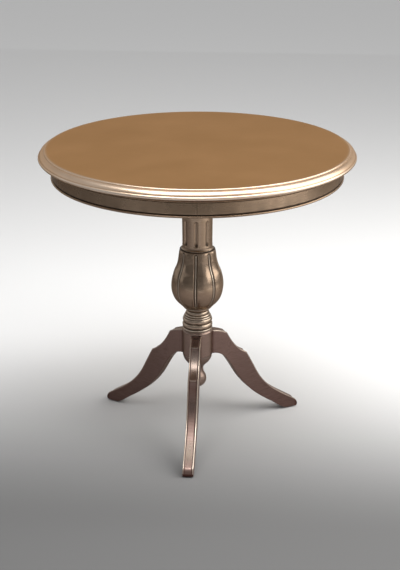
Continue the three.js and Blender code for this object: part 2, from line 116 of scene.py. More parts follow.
def hollow(outline, reach=1.6, grain=0.2):
    """How far each point of an outline lies below the same outline blurred over reach: above zero
    in a quirk, below zero on an arris. The blur is a Gaussian along the outline's own length."""
    step = np.linalg.norm(np.diff(outline, axis=0), axis=1)
    length = np.concatenate([[0], np.cumsum(step)])
    even = np.arange(0, length[-1] + grain, grain)
    line = np.stack([np.interp(even, length, outline[:, axis]) for axis in (0, 1)], axis=1)
    span = int(4 * reach / grain)
    kernel = np.exp(-0.5 * (np.arange(-span, span + 1) * grain / reach) ** 2)
    kernel /= kernel.sum()
    padded = np.pad(line, ((span, span), (0, 0)), mode="reflect", reflect_type="odd")
    blurred = np.stack([np.convolve(padded[:, axis], kernel, "valid") for axis in (0, 1)], axis=1)
    along = np.gradient(line, axis=0)
    along /= np.maximum(np.linalg.norm(along, axis=1, keepdims=True), 1e-9)
    outward = np.stack([along[:, 1], -along[:, 0]], axis=1)
    return np.interp(length, even, np.sum((blurred - line) * outward, axis=1))


def part_of(amount, full, least=0.0, most=1.0):
    """Amount over full, kept between least and most."""
    return np.clip(amount / full, least, most)


def make_piece(name, grid, around=True, along=False, masks=None, sharp=38.0):
    """Mesh over a grid of points in millimetres, rows by columns. Rows join up when along is true and
    columns when around is true. Points that fall together become one, which closes poles and toes,
    and an end that is left open is closed by one flat face. Masks are kept as point attributes."""
    rows, columns = grid.shape[:2]
    index = np.arange(rows * columns).reshape(rows, columns)
    i = np.arange(rows if along else rows - 1)[:, None]
    j = np.arange(columns if around else columns - 1)[None, :]
    below, beside = (i + 1) % rows, (j + 1) % columns
    quads = np.stack([index[i, j], index[i, beside], index[below, beside], index[below, j]], axis=-1)
    rings = quads.reshape(-1, 4).tolist()
    if along and not around:
        rings += [index[:, 0].tolist(), index[::-1, -1].tolist()]
    if around and not along:
        rings += [index[0].tolist(), index[-1, ::-1].tolist()]
    places, first, twin = np.unique(
        np.round(grid.reshape(-1, 3) * MM, 7), axis=0, return_index=True, return_inverse=True
    )
    twin = twin.reshape(-1)
    faces = [tuple(dict.fromkeys(twin[ring].tolist())) for ring in rings]
    mesh = bpy.data.meshes.new(name)
    mesh.from_pydata(places.tolist(), [], [face for face in faces if len(face) > 2])
    shell = bmesh.new()
    shell.from_mesh(mesh)
    bmesh.ops.recalc_face_normals(shell, faces=shell.faces)
    shell.to_mesh(mesh)
    shell.free()
    for mask, values in (masks or {}).items():
        spread = np.broadcast_to(values, (rows, columns)).reshape(-1)[first]
        mesh.attributes.new(mask, "FLOAT", "POINT").data.foreach_set("value", spread.astype(np.float32))
    mesh.shade_smooth()
    mesh.set_sharp_from_angle(angle=math.radians(sharp))
    piece = bpy.data.objects.new(name, mesh)
    bpy.context.scene.collection.objects.link(piece)
    return piece


def carried_round(radius, height, turns):
    """Grid round Z whose point at the angle a is (r cos a, r sin a, z)."""
    radius, height, turns = np.broadcast_arrays(radius, height, turns)
    return np.stack([radius * np.cos(turns), radius * np.sin(turns), height], axis=-1)


def turn(name, outline, turns, relief=0.0, centre=(0, 0, 0), closed=False, masks=None, sharp=38.0):
    """Turned piece: the outline in (r, z) carried round an upright line through centre, with relief
    taken off its radius."""
    grid = carried_round(outline[:, :1] - relief, outline[:, 1:], turns) + np.array(centre)
    return make_piece(name, grid, along=closed, masks=masks, sharp=sharp)


def settle(piece, body, slot, finish, *nodes):
    """Gives a piece its body and its finish, and hides the CAD nodes that it stands for. The slot is not
    used.
    """
    piece.data.materials.clear()
    piece.data.materials.append(finish)
    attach(piece, body)
    if nodes:
        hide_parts(*nodes)
    return piece


class Wire:
    """One output of a shader node. Arithmetic on it adds Math nodes."""

    def __init__(self, mix, socket):
        self.mix = mix
        self.socket = socket

    def __add__(self, other):
        return self.mix.maths("ADD", self, other)

    def __sub__(self, other):
        return self.mix.maths("SUBTRACT", self, other)

    def __rsub__(self, other):
        return self.mix.maths("SUBTRACT", other, self)

    def __mul__(self, other):
        return self.mix.maths("MULTIPLY", self, other)

    __radd__ = __add__
    __rmul__ = __mul__

    def held(self):
        """The same value kept between 0 and 1."""
        return self.mix.maths("ADD", self, 0.0, clamp=True)

    def over(self, low, high):
        """0 below low, 1 above high, and a smooth step between."""
        settings = {"interpolation_type": "SMOOTHSTEP"}
        values = {"Value": self, "From Min": low, "From Max": high}
        return self.mix.node("ShaderNodeMapRange", "Result", settings, values)


class Finish:
    """A material being mixed on one Principled shader."""

    def __init__(self, name, **plain):
        self.material = bpy.data.materials.new(name)
        self.material.use_nodes = True
        self.tree = self.material.node_tree
        self.shader = self.tree.nodes["Principled BSDF"]
        for socket, value in plain.items():
            self.shader.inputs[socket.replace("_", " ")].default_value = value

    def join(self, socket, value):
        if isinstance(value, Wire):
            self.tree.links.new(value.socket, socket)
        elif isinstance(value, tuple) and len(value) == 3 and socket.type == "RGBA":
            socket.default_value = (*value, 1.0)
        else:
            socket.default_value = value

    def node(self, kind, output, settings=None, values=None):
        """Adds a node: its settings first, then the values of its sockets."""
        node = self.tree.nodes.new(kind)
        for name, value in (settings or {}).items():
            setattr(node, name, value)
        for name, value in (values or {}).items():
            by_name = [s for s in node.inputs if name in (s.identifier, s.name)]
            self.join(by_name[0], value)
        by_name = [s for s in node.outputs if output in (s.identifier, s.name)]
        return Wire(self, by_name[0])

    def maths(self, operation, first, second, clamp=False):
        settings = {"operation": operation, "use_clamp": clamp}
        return self.node("ShaderNodeMath", "Value", settings, {"Value": first, "Value_001": second})

    def blend(self, first, second, share, how="MIX"):
        """Colour mixed from first to second by share, or the two multiplied, added and so on."""
        settings = {"data_type": "RGBA", "blend_type": how}
        values = {"Factor_Float": share, "A_Color": first, "B_Color": second}
        return self.node("ShaderNodeMix", "Result_Color", settings, values)

    def place(self, scale=(1.0, 1.0, 1.0)):
        """Object coordinates, stretched by scale."""
        where = self.node("ShaderNodeTexCoord", "Object")
        return self.node("ShaderNodeMapping", "Vector", None, {"Vector": where, "Scale": scale})

    def noise(self, where, scale, detail=3.0, roughness=0.55):
        values = {"Vector": where, "Scale": scale, "Detail": detail, "Roughness": roughness}
        return self.node("ShaderNodeTexNoise", "Fac", None, values)

    def mask(self, name):
        return self.node("ShaderNodeAttribute", "Fac", {"attribute_name": name})

    def bump(self, height, distance, strength=1.0):
        values = {"Height": height, "Distance": distance, "Strength": strength}
        return self.node("ShaderNodeBump", "Normal", None, values)

    def set(self, **sockets):
        for name, value in sockets.items():
            self.join(self.shader.inputs[name.replace("_", " ")], value)
        return self.material


UMBER = (0.020, 0.011, 0.006)
BARE_WOOD = (0.42, 0.29, 0.17)
WIPED = (0.5, 0.44, 0.38)
METAL_EDGE = (0.8, 0.7, 0.6)


def lighter(colour, times):
    """The colour made this many times as light, up to full."""
    return tuple(min(1.0, times * part) for part in colour)


def champagne(
    name, colour, rubbed, roughness=0.3, coat=0.1, edge_tint=METAL_EDGE, glaze_tone=UMBER, drawn=0.5
):
    """Metallic lacquer sprayed over a ground, glazed dark in the hollows and rubbed bright on the
    arrises. The masks glaze, rub and bare say where; on some pieces the glaze mask also holds painted
    shade, and on the legs the rub mask also holds painted highlights. Spray leaves a fine ripple and
    soft clouds, and glazing wiped off the flats leaves streaks: drawn says how many. Edge_tint is the
    metal's colour where it is seen edge on."""
    mix = Finish(name, Coat_Roughness=0.12, IOR=1.45, Specular_Tint=(*edge_tint, 1.0))
    where = mix.place()
    cloud = mix.noise(where, 7.0, 4.0, 0.6)
    drag = mix.noise(mix.place((1.0, 1.0, 16.0)), 42.0, 5.0, 0.65)
    flake = mix.noise(where, 1900.0, 1.0, 0.5)
    glaze_and_shade = (mix.mask("glaze_and_shade") * (0.6 + drag * 0.8)).held()
    rub = (mix.mask("rub") * (0.35 + cloud * 0.9)).held()
    bare_wood = mix.mask("bare").held()
    tone = mix.blend(lighter(colour, 0.97), lighter(colour, 1.25), cloud)
    tone = mix.blend(tone, WIPED, drag.over(0.4, 0.75) * drawn, "MULTIPLY")
    tone = mix.blend(tone, (1.12, 1.12, 1.12), (flake - 0.5) * 0.35, "MULTIPLY")
    tone = mix.blend(tone, rubbed, rub * 0.75)
    tone = mix.blend(tone, glaze_tone, glaze_and_shade)
    fibre = mix.noise(mix.place((1.0, 0.04, 1.0)), 420.0, 4.0, 0.6)
    dusty = mix.blend(lighter(BARE_WOOD, 0.8), lighter(BARE_WOOD, 1.15), fibre)
    tone = mix.blend(tone, dusty, bare_wood)
    matt = glaze_and_shade * 0.28 + bare_wood * 0.45 + (cloud - 0.5) * 0.10 + (drag - 0.5) * 0.05 + roughness
    ripple = mix.noise(where, 260.0, 2.0, 0.5)
    height = ripple * 0.7 + drag * 0.3
    return mix.set(
        Base_Color=tone,
        Metallic=((1 - glaze_and_shade * 0.8) * (1 - bare_wood) * 0.92).held(),
        Roughness=matt.held(),
        Coat_Weight=((1 - bare_wood) * coat).held(),
        Normal=mix.bump(height, 0.00012, 0.35),
    )


# The board's lacquer is browner than the column's, though both are one champagne: the extra brown is a
# painted reflection of a warm room.
TOP_LACQUER_AND_REFLECTION = (0.497, 0.297, 0.157)
TOP_EDGE_ON = (0.6, 0.42, 0.26)
RUBBED = (0.78, 0.69, 0.58)
RUBBED_EDGE = (0.83, 0.77, 0.69)
FIELD_EDGE = 17.0
MOULDED_EDGE = 15.0
BARE_RADIUS = 322.0
EDGE_RUB = 0.45

top_finish = champagne(
    "champagne_top", TOP_LACQUER_AND_REFLECTION, RUBBED_EDGE, coat=0.05, edge_tint=TOP_EDGE_ON, drawn=0.0
)
board_low, board_high = corners("top_board")
board_radius = board_high[0]
board_top, board_under = board_high[2], board_low[2]
board_line = closely(
    moulding(
        (0.0, board_under),
        (BARE_RADIUS, board_under, 0),
        (board_radius - 2.0, board_under, 0),
        (board_radius - 1.9, board_top - 13.6, 2.0),
        (board_radius - 2.7, board_top - 13.2, 0),
        (board_radius - 2.7, board_top - 12.3, 0),
        (board_radius - 13.6, board_top - 3.4, 2.0),
        (board_radius - 14.2, board_top - 3.2, 0),
        (board_radius - 14.4, board_top - 2.6, 0),
        (board_radius - FIELD_EDGE, board_top, 0.6),
        (board_radius - FIELD_EDGE - 6.0, board_top, 0),
        (0.0, board_top, 0),
    )
)
board_hollow = hollow(board_line)[:, None]
is_under = (board_line[:, 1:] < board_under + 0.01) & (board_line[:, :1] <= BARE_RADIUS)
is_moulded = board_line[:, :1] > board_radius - MOULDED_EDGE
top_board = turn(
    "top_board_turned",
    board_line,
    np.linspace(0, 2 * np.pi, 360, endpoint=False),
    masks={
        "glaze_and_shade": part_of(board_hollow, 0.9, most=0.5),
        "rub": part_of(-board_hollow, 0.5) + EDGE_RUB * is_moulded,
        "bare": is_under.astype(float),
    },
)
settle(top_board, "top", "painted_top", top_finish, "top_board")


# ---- Apron ----
# A frieze ring bent up in four segments that butt on glue blocks. It has a thin bead near its head,
# a flat face, a deep quirk filled with dark glaze, and a bead along its foot.

APRON_COLOUR = (0.198, 0.123, 0.070)
SEAM_TURN = math.radians(4.6)
SEAM_GAP = 0.00035

APRON_OUTER, APRON_INNER = 340.0, 322.0

apron_finish = champagne("champagne_frame", APRON_COLOUR, RUBBED, roughness=0.27, coat=0.08)
segment_low, segment_high = corners("apron_front_right")
apron_foot, apron_head = segment_low[2], segment_high[2]
apron_line = moulding(
    (APRON_INNER, apron_foot + 0.6),
    (APRON_INNER + 0.6, apron_foot, 0),
    (APRON_OUTER + 0.7, apron_foot, 0),
    (APRON_OUTER + 0.9, apron_foot + 4.6, 1.5),
    (APRON_OUTER - 1.5, apron_foot + 5.2, 0),
    (APRON_OUTER - 1.6, apron_foot + 6.9, 0),
    (APRON_OUTER - 0.2, apron_foot + 8.0, 0.2),
    (APRON_OUTER, apron_foot + 9.0, 0),
    (APRON_OUTER, apron_head - 13.6, 0),
    (APRON_OUTER - 0.7, apron_head - 13.0, 0),
    (APRON_OUTER, apron_head - 12.4, 0),
    (APRON_OUTER, apron_head - 9.4, 0.9),
    (APRON_OUTER - 0.8, apron_head - 9.0, 0),
    (APRON_OUTER - 0.8, apron_head, 0),
    (APRON_INNER, apron_head, 0),
)
apron_line = closely(apron_line, closed=True)
looped = np.vstack([apron_line, apron_line[:1]])
apron_hollow = hollow(looped)[:-1, None]
apron_height = apron_line[:, 1:]
on_face = (apron_line[:, :1] > APRON_OUTER - 3).astype(float)
quirk_height = apron_foot + 8.0

QUARTER = math.pi / 2
CRUMBLE_REACH = 0.035
SEAM_SINK, SEAM_WIDTH = 0.12, 0.0016
CRUMB_RISE, CRUMB_LUMPS = 0.45, 0.5
CRUMB_WIDTH, CRUMB_HEIGHT = 0.009, 3.0
SMEAR_MOST, SMEAR_HEIGHT = 0.5, 1.5

# Angles of one segment: even steps, with finer ones near both of its ends. A hairline shows at each
# seam, crumbs of filler sit over the foot quirk beside it, and glaze is smeared above the quirk.
even = np.linspace(SEAM_GAP, QUARTER - SEAM_GAP, 121)
fine = np.linspace(0, CRUMBLE_REACH, 24)
segment_angles = np.sort(np.concatenate([even[0] + fine, even[6:-6], even[-1] - fine]))
from_seam = np.minimum(segment_angles - even[0], even[-1] - segment_angles)
at_seam = SEAM_SINK * np.exp(-((from_seam / SEAM_WIDTH) ** 2))
above_quirk = (apron_height - quirk_height) / CRUMB_HEIGHT
crumb = np.exp(-((from_seam / CRUMB_WIDTH) ** 2) - above_quirk**2)
smear_band = np.exp(-(((apron_height - quirk_height - 0.6) / SMEAR_HEIGHT) ** 2))

for quarter, place in enumerate(("back_right", "back_left", "front_left", "front_right")):
    angles = segment_angles + quarter * QUARTER + SEAM_TURN
    lumps = np.sin(angles * 1310 + apron_height * 1.9) * np.sin(angles * 2270 - apron_height * 0.8 + 1.3)
    wander = 0.5 + 0.5 * np.sin(angles * 46 + 0.7) * np.sin(angles * 19 + quarter)
    raised = crumb * (CRUMB_RISE + CRUMB_LUMPS * lumps)
    segment = make_piece(
        f"apron_{place}_bent",
        carried_round(apron_line[:, :1] - on_face * (at_seam - raised), apron_height, angles),
        around=False,
        along=True,
        masks={
            "glaze_and_shade": part_of(apron_hollow, 0.22) + on_face * (at_seam + SMEAR_MOST * smear_band * wander),
            "rub": part_of(-apron_hollow, 0.32, most=0.25),
            "bare": apron_line[:, :1] < APRON_INNER + 0.3,
        },
    )
    settle(segment, "top", "painted_wood", apron_finish, f"apron_{place}")


# ---- Fluted shaft ----
# The upper length of the column, turned in beech and cut with eight stopped flutes. Its foot flares
# a little over the vase and its head spreads under the tilt block.

RIBS = 8
FLUTE_HALF = 5.0
FLUTE_DEPTH = 3.0


def rib_turns(steps, crowd):
    """Angles round a ribbed piece: in each sector the step number u, from -1 to 1, is placed at
    crowd * u + (1 - crowd) * u cubed, so that the points crowd together on the rib."""
    u = np.linspace(-1, 1, steps, endpoint=False)
    offset = crowd * u + (1 - crowd) * u**3
    return (np.arange(RIBS)[:, None] * 2 * np.pi / RIBS + offset * np.pi / RIBS).reshape(-1)


def from_rib(turns):
    """Angle from the nearest rib, from minus to plus half a sector."""
    pitch = 2 * np.pi / RIBS
    return (turns + pitch / 2) % pitch - pitch / 2


def dense(outline, step):
    """The same outline with every run cut into steps no longer than step."""
    length = np.concatenate([[0], np.cumsum(np.linalg.norm(np.diff(outline, axis=0), axis=1))])
    counts = np.maximum(1, np.ceil(np.diff(length) / step).astype(int))
    runs = zip(length, length[1:], counts)
    marks = [np.linspace(start, end, count, endpoint=False) for start, end, count in runs]
    marks = np.concatenate([*marks, length[-1:]])
    return np.stack([np.interp(marks, length, outline[:, axis]) for axis in (0, 1)], axis=1)


ROD_BORE = 5.5
FLUTE_TOE = 12.0
COLUMN_COLOUR = (0.287, 0.212, 0.154)

column_finish = champagne("champagne_column", COLUMN_COLOUR, RUBBED, roughness=0.24)
shaft_low, shaft_high = corners("fluted_shaft")
shaft_foot, shaft_top = shaft_low[2], shaft_high[2]
flute_low, flute_high = shaft_foot + 12.0, shaft_foot + 75.5
shaft_line = moulding(
    (ROD_BORE, shaft_foot),
    (37.2, shaft_foot, 0),
    (38.9, shaft_foot + 1.7, 0.6),
    (36.3, shaft_foot + 9.0, -0.9),
    (36.0, shaft_foot + 15.0, 0),
    (36.7, shaft_foot + 80.0, -0.05),
    (36.8, shaft_foot + 155.0, 0),
    (36.9, shaft_foot + 156.0, 0),
    (36.9, shaft_foot + 168.0, 3.2),
    (36.9, shaft_foot + 170.0, 0),
    (45.0, shaft_foot + 191.0, -3.2),
    (45.8, shaft_top - 12.2, 0),
    (16.0, shaft_top - 12.0, 0),
    (16.0, shaft_top, 0),
    (ROD_BORE, shaft_top, 0),
)
shaft_line = dense(closely(shaft_line), 1.6)
shaft_turns = rib_turns(44, 0.42)
flute_middle, flute_reach = (flute_low + flute_high) / 2, (flute_high - flute_low) / 2 - FLUTE_HALF
beyond = np.maximum(np.abs(shaft_line[:, 1:] - flute_middle) - flute_reach, 0)
aside = from_rib(shaft_turns) * shaft_line[:, :1]
flute_from_middle = np.hypot(aside, beyond) / FLUTE_HALF
on_shaft = (shaft_line[:, :1] > 30) & (shaft_line[:, 1:] > shaft_foot + 4)
flute = np.sqrt(np.clip(1 - flute_from_middle**2, 0, 1)) * on_shaft
flute_line = np.exp(-((flute_from_middle / 0.35) ** 2)) * on_shaft
flute_toe = (1 - part_of(shaft_line[:, 1:] - flute_low, FLUTE_TOE)) * flute
shaft_hollow = hollow(shaft_line)[:, None]
shaft = turn(
    "fluted_shaft_turned",
    shaft_line,
    shaft_turns,
    relief=FLUTE_DEPTH * flute,
    closed=True,
    masks={
        "glaze_and_shade": part_of(shaft_hollow, 0.5) + 0.45 * flute_line + 1.1 * flute_toe,
        "rub": part_of(-shaft_hollow, 0.5) * (1 - flute),
    },
    sharp=50.0,
)
settle(shaft, "base", "painted_wood", column_finish, "fluted_shaft")


# ---- Vase ----
# The swelling below the shaft, turned in beech and then carved into eight lobes, with a narrow reed
# in a shallow channel between each two. The channels stop short of both ends.

CHANNEL_HALF = 4.5
REED_HALF = 1.9
CHANNEL_DEPTH = 1.9
LOBE_FALL = 2.6


def smooth_through(points, steps):
    """Catmull-Rom curve: between two points a cubic whose slope at each is half the step from the
    point before to the point after."""
    p = np.array(points, float)
    p = np.vstack([2 * p[0] - p[1], p, 2 * p[-1] - p[-2]])
    a, b, c, d = p[:-3, None], p[1:-2, None], p[2:-1, None], p[3:, None]
    t = np.linspace(0, 1, steps, endpoint=False)[None, :, None]
    cubic = 2 * b + (c - a) * t + (2 * a - 5 * b + 4 * c - d) * t**2 + (3 * b - a - 3 * c + d) * t**3
    return np.vstack([cubic.reshape(-1, p.shape[1]) / 2, p[-2:-1]])


vase_low, vase_high = corners("vase")
vase_foot, vase_top = vase_low[2], vase_high[2]
vase_wall = smooth_through(
    [
        (34.8, vase_foot),
        (44.6, vase_foot + 9.5),
        (53.6, vase_foot + 19.7),
        (59.9, vase_foot + 31.7),
        (63.3, vase_foot + 44.0),
        (64.2, vase_foot + 58.0),
        (62.3, vase_foot + 74.0),
        (58.0, vase_foot + 89.5),
        (52.6, vase_foot + 102.0),
        (48.3, vase_foot + 117.0),
        (46.2, vase_foot + 131.0),
        (44.6, vase_foot + 141.0),
        (42.6, vase_top - 1.0),
    ],
    9,
)
vase_head = [(41.6, vase_top), (38.0, vase_top), (ROD_BORE, vase_top)]
vase_line = dense(np.vstack([[(ROD_BORE, vase_foot)], vase_wall, vase_head]), 1.5)
vase_turns = rib_turns(52, 0.22)
vase_angle = from_rib(vase_turns)
vase_radius, vase_height = vase_line[:, :1], vase_line[:, 1:]
is_wall = (vase_radius > 34.5) & (vase_height < vase_top - 0.5) & (vase_height > vase_foot + 0.5)

reed_low, reed_high = vase_foot + 13.0, vase_foot + 142.0
reed_middle, reed_reach = (reed_low + reed_high) / 2, (reed_high - reed_low) / 2 - REED_HALF
past_end = np.maximum(np.abs(vase_height - reed_middle) - reed_reach, 0)
from_reed = np.hypot(vase_angle * vase_radius, past_end)
channel = 1 - part_of(from_reed - CHANNEL_HALF + 0.7, 1.2)
channel = channel * channel * (3 - 2 * channel)
reed = np.sqrt(np.clip(1 - (from_reed / REED_HALF) ** 2, 0, 1))
lobe = (1 - np.abs(vase_angle) / (np.pi / RIBS)) ** 2
end_fade = part_of(vase_height - vase_foot, 16.0) * part_of(vase_top - vase_height, 10.0)
vase_relief = CHANNEL_DEPTH * (channel - 0.95 * reed) + LOBE_FALL * lobe * end_fade

# Glaze lies in the channel on both sides of each reed and under the vase. The dark on the shoulder,
# where the shaft stands on it, is partly glaze and partly painted shadow of that joint.
beside_reed = np.exp(-(((from_reed - REED_HALF - 1.0) / 1.2) ** 2)) * is_wall
shoulder_glaze_and_shade = part_of(vase_height - vase_top + 2.2, 2.0)
under_vase = 1 - part_of(vase_height - vase_foot, 7.0)
vase = turn(
    "vase_carved",
    vase_line,
    vase_turns,
    relief=vase_relief * is_wall,
    closed=True,
    masks={
        "glaze_and_shade": 1.1 * beside_reed + 0.9 * shoulder_glaze_and_shade + 0.6 * under_vase,
        "rub": 0.8 * reed * is_wall,
    },
    sharp=55.0,
)
settle(vase, "base", "painted_wood", column_finish, "vase")


# ---- Turned rings ----
# A short length turned in beech: four beads that grow towards the hub, under a cove and a small
# collar. The tie rod clamps it between the vase and the hub, and glaze fills each quirk.

rings_low, rings_high = corners("turned_rings")
rings_foot, rings_top = rings_low[2], rings_high[2]
rings_line = moulding(
    (ROD_BORE, rings_foot),
    (35.6, rings_foot, 0),
    (35.9, rings_foot + 4.0, 0.7),
    (33.9, rings_foot + 4.5, 0),
    (34.1, rings_foot + 5.6, 0),
    (34.4, rings_foot + 16.8, 2.4),
    (33.4, rings_foot + 17.1, 0),
    (33.6, rings_foot + 18.6, 0),
    (34.0, rings_foot + 29.3, 2.1),
    (33.0, rings_foot + 29.6, 0),
    (32.8, rings_foot + 30.4, 0),
    (31.9, rings_foot + 34.0, 0.9),
    (31.0, rings_foot + 34.3, 0),
    (30.8, rings_foot + 35.0, 0),
    (28.9, rings_foot + 39.3, 0.8),
    (27.7, rings_foot + 39.7, 0),
    (26.7, rings_foot + 46.6, 0.9),
    (25.7, rings_foot + 47.2, 0),
    (26.2, rings_foot + 48.0, 0),
    (33.6, rings_foot + 54.6, -0.9),
    (34.4, rings_top - 0.6, 0.3),
    (33.6, rings_top, 0),
    (ROD_BORE, rings_top, 0),
)
rings_line = closely(rings_line, 0.4)
rings_hollow = hollow(rings_line, reach=1.2)[:, None]
round_turns = np.linspace(0, 2 * np.pi, 144, endpoint=False)
rings = turn(
    "rings_turned",
    rings_line,
    round_turns,
    closed=True,
    masks={
        "glaze_and_shade": part_of(rings_hollow, 0.26),
        "rub": part_of(-rings_hollow, 0.3),
    },
)
settle(rings, "base", "painted_wood", column_finish, "turned_rings")


# ---- Hub and drop finial ----
# The hub takes the legs' dovetails from below, and the turned finial closes their ends. It screws up
# on the end of the tie rod.

HUB_COLOUR = (0.245, 0.178, 0.150)
SOCKET_RADIUS = 14.0

hub_finish = champagne("champagne_hub", HUB_COLOUR, RUBBED, roughness=0.26)
hub_low, hub_high = corners("leg_hub")
hub_foot, hub_top = hub_low[2], hub_high[2]
hub_radius = 36.3
hub_line = moulding(
    (SOCKET_RADIUS, hub_foot),
    (hub_radius - 0.3, hub_foot, 0),
    (hub_radius, hub_foot + 0.4, 0),
    (hub_radius, hub_foot + 58.5, 0),
    (34.4, hub_foot + 64.6, 1.1),
    (31.5, hub_top, 0.3),
    (ROD_BORE, hub_top, 0),
    (ROD_BORE, hub_foot + 15.0, 0),
    (SOCKET_RADIUS, hub_foot + 15.0, 0),
)
hub_line = dense(closely(hub_line, closed=True), 4.0)
# Painted shade: the hub is darkened over its top 4 mm, under the overhang of the rings.
shade_under_rings = 1 - part_of(hub_top - hub_line[:, 1:], 4.0)
hub = turn(
    "leg_hub_turned", hub_line, round_turns, closed=True, masks={"glaze_and_shade": 0.9 * shade_under_rings}
)
settle(hub, "base", "painted_wood", hub_finish, "leg_hub")

finial_low, finial_high = corners("drop_finial")
drop, finial_top = finial_low[2], finial_high[2]
finial_wall = smooth_through(
    [
        (0.0, drop),
        (9.0, drop + 2.6),
        (15.0, drop + 7.0),
        (20.4, drop + 14.5),
        (21.8, drop + 23.0),
        (20.6, drop + 31.0),
        (17.2, drop + 38.5),
        (14.6, drop + 45.0),
        (14.1, drop + 51.0),
        (16.2, drop + 58.0),
        (21.4, drop + 64.0),
        (27.0, drop + 69.5),
        (31.6, drop + 76.0),
        (34.6, drop + 83.0),
        (hub_radius - 0.4, finial_top - 0.4),
    ],
    7,
)
rod_seat = drop + 65.0
finial_bore = [(ROD_BORE, finial_top), (ROD_BORE, rod_seat), (0.0, rod_seat)]
finial_line = np.vstack([finial_wall, finial_bore])
finial_hollow = hollow(finial_line, reach=4.0)[:, None]
finial = turn(
    "drop_finial_turned",
    finial_line,
    round_turns,
    masks={
        "glaze_and_shade": part_of(finial_hollow, 1.8, least=0.12, most=0.9),
        "rub": part_of(-finial_hollow, 3.0, most=0.4),
    },
)
settle(finial, "base", "painted_wood", hub_finish, "drop_finial")


# ---- Legs ----
# Three boards sawn to an S, with flat sides. The upper edge is worked as a bead down each arris with
# a channel between them. The inner end is scribed to the hub.

LEG_COLOUR = (0.205, 0.140, 0.121)
RED_UMBER = (0.046, 0.014, 0.010)
SCRIBE_REACH = 12.0
MITRE_REACH = 1.2
GLAZE_AFTER, GLAZE_REACH = 3.2, 1.5

leg_finish = champagne("champagne_legs", LEG_COLOUR, RUBBED, roughness=0.25, glaze_tone=RED_UMBER)
leg_low, leg_high = corners("leg_front")
leg_half = (leg_high[0] - leg_low[0]) / 2
toe = -leg_low[1]
sole = leg_low[2]
head = leg_high[2]


def crowded(steps, crowd=0.85):
    """Shares from 0 to 1, t - crowd sin(2 pi t) / (2 pi), which crowd together at both ends."""
    t = np.linspace(0, 1, steps + 1)
    return t - crowd * np.sin(2 * np.pi * t) / (2 * np.pi)


def bezier(shares, *points):
    """Points of a Bezier curve by repeated straight mixing: each level is (1 - t) a + t b."""
    t = shares[:, None]
    level = [np.array(point, float) + 0 * t for point in points]
    while len(level) > 1:
        level = [(1 - t) * a + t * b for a, b in zip(level, level[1:])]
    return level[0]


def chained(curves):
    """Curves laid end to end, with the point that two of them share kept once."""
    return np.concatenate([curves[0]] + [curve[1:] for curve in curves[1:]])


def length_along(line):
    """Distance of each point from the first, along the line."""
    return np.concatenate([[0], np.cumsum(np.linalg.norm(np.diff(line, axis=0), axis=1))])


# Upper edge in (radius, height), from the hub over its two corners to the toe. Each stretch has its
# control points, its number of steps, and the share of the lower edge that lies across from its end.
corner, cusp, shin, heel = (75.0, 243.0), (130.0, 181.0), (156.0, 132.0), (271.0, sole + 21.5)
tip = (toe - 0.3, sole + 8.0)
UPPER_STRETCHES = (
    (((hub_radius, head), (58.0, head - 3.0), corner), 14, 0.125),
    ((corner, (98.0, 196.0), cusp), 22, 0.27),
    ((cusp, (143.0, 158.0), shin), 12, 0.385),
    ((shin, (184.0, 74.0), (226.0, 54.0), heel), 34, 0.945),
    ((heel, (toe - 1.5, sole + 16.5), tip), 12, 1.0),
)
LOWER_STRETCHES = (
    ((hub_radius, 193.9), (74.0, 194.0), (88.0, 148.0), (114.0, 110.0)),
    ((114.0, 110.0), (137.0, 78.0), (165.0, 54.0), (205.0, 29.0)),
    ((205.0, 29.0), (236.0, 5.0), (246.0, sole)),
    ((246.0, sole), (toe - 2.5, sole)),
    ((toe - 2.5, sole), (toe - 0.2, sole), tip),
)
stretch_shares = [crowded(steps) for _, steps, _ in UPPER_STRETCHES]
upper = chained([bezier(t, *points) for t, (points, _, _) in zip(stretch_shares, UPPER_STRETCHES)])
lower_line = chained([bezier(np.linspace(0, 1, 31), *points) for points in LOWER_STRETCHES])
opposite = [0.0] + [share for _, _, share in UPPER_STRETCHES]
lower_share = chained([a + (b - a) * t for t, a, b in zip(stretch_shares, opposite, opposite[1:])])
lower_length = length_along(lower_line)
lower_at = lower_share * lower_length[-1]
lower = np.stack([np.interp(lower_at, lower_length, lower_line[:, axis]) for axis in (0, 1)], axis=1)

# Across the leg, from its side to its middle: how far each line of the upper edge lies below the
# sawn outline, how far the foot's arris is eased, and where quirk, bead, channel and side are.
across = np.array([0.0, 0.0, 0.35, 0.9, 1.7, 2.5, 3.1, 3.5, 3.9, 4.6, 6.4, 9.4])
sunk = np.array([3.4, 1.5, 0.55, 0.12, 0.0, 0.12, 0.5, 1.5, 1.45, 1.2, 1.15, 1.25])
arris = np.array([3.0, 1.2, 0.45, 0.12, 0.0, 0.0, 0.0, 0.0, 0.0, 0.0, 0.0, 0.0])
quirk_mask = np.array([0, 0, 0, 0, 0, 0.2, 0.8, 1.0, 1.0, 0.5, 0, 0])
bead_mask = np.array([0, 0.6, 1.0, 1.0, 1.0, 0.9, 0.3, 0, 0, 0, 0, 0])
inside_mask = np.array([0, 0, 0, 0, 0, 0, 0, 0, 0.4, 1.0, 1.0, 1.0])
side_mask = np.array([1.0, 0.5, 0, 0, 0, 0, 0, 0, 0, 0, 0, 0])
DEEPEST_SHARE = 0.42


def both_sides(left, middle):
    """Values from the left side to the middle, the middle's own, and the same mirrored."""
    return np.concatenate([left, [middle], left[::-1]])


width = np.concatenate([across - leg_half, [0.0], (leg_half - across)[::-1]])
from_top = both_sides(sunk, 1.3)
from_foot = both_sides(arris, 0.0)
top_quirk = both_sides(quirk_mask, 0.0)
top_bead = both_sides(bead_mask, 0.0)
top_inside = both_sides(inside_mask, 1.0)
top_side = both_sides(side_mask, 0.0)

